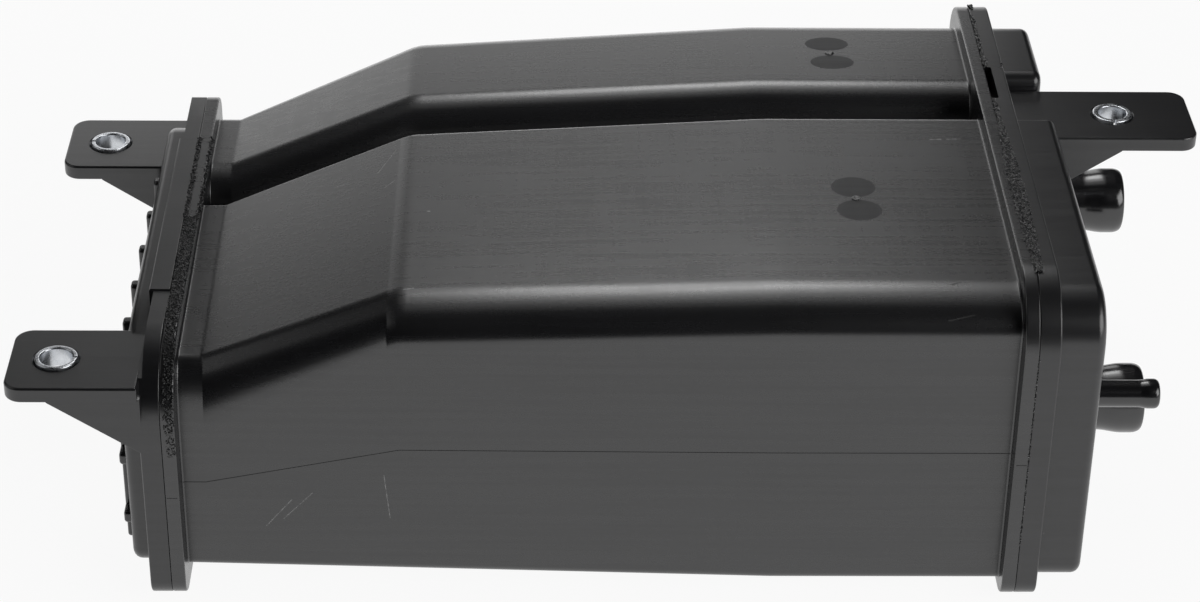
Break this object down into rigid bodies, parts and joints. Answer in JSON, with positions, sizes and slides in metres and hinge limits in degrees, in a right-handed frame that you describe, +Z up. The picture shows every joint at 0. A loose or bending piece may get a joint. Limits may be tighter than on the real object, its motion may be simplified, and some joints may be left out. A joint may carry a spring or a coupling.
{
  "type": "charcoal canister",
  "caption": "Moulded black charcoal canister with a wide and a narrow chamber, welded end covers, hose ports, and mounting tabs with steel sleeves.",
  "frame": {"origin": "centre of the bounding box at the plane that the flanges rest on", "axes": "+X along the canister to the port cover, +Y to the narrow chamber at the back, +Z up"},
  "size_m": [0.3456, 0.188, 0.101],
  "materials": {
    "body_plastic": "satin, lightly scuffed",
    "cover_plastic": "satin",
    "zinc_steel": "bright zinc plate",
    "charcoal": "matt",
    "grid_plastic": "matt",
    "foam": "open foam",
    "spring_steel": "drawn wire"
  },
  "bodies": {
    "root": {"canister_body": "body_plastic", "end_cover": "cover_plastic", "port_cover": "cover_plastic", "port_tank": "cover_plastic", "port_purge": "cover_plastic", "port_vent": "cover_plastic", "sleeve_front_left": "zinc_steel", "sleeve_rear_left": "zinc_steel", "sleeve_port_side": "zinc_steel", "carbon_main": "charcoal", "carbon_vent": "charcoal", "grid_main": "grid_plastic", "grid_vent": "grid_plastic", "screen_tank": "foam", "screen_purge": "foam", "screen_vent": "foam", "pad_main": "foam", "pad_vent": "foam", "plate_main": "grid_plastic", "plate_vent": "grid_plastic", "spring_main_front": "spring_steel", "spring_main_rear": "spring_steel", "spring_vent": "spring_steel"}
  },
  "joints": []
}
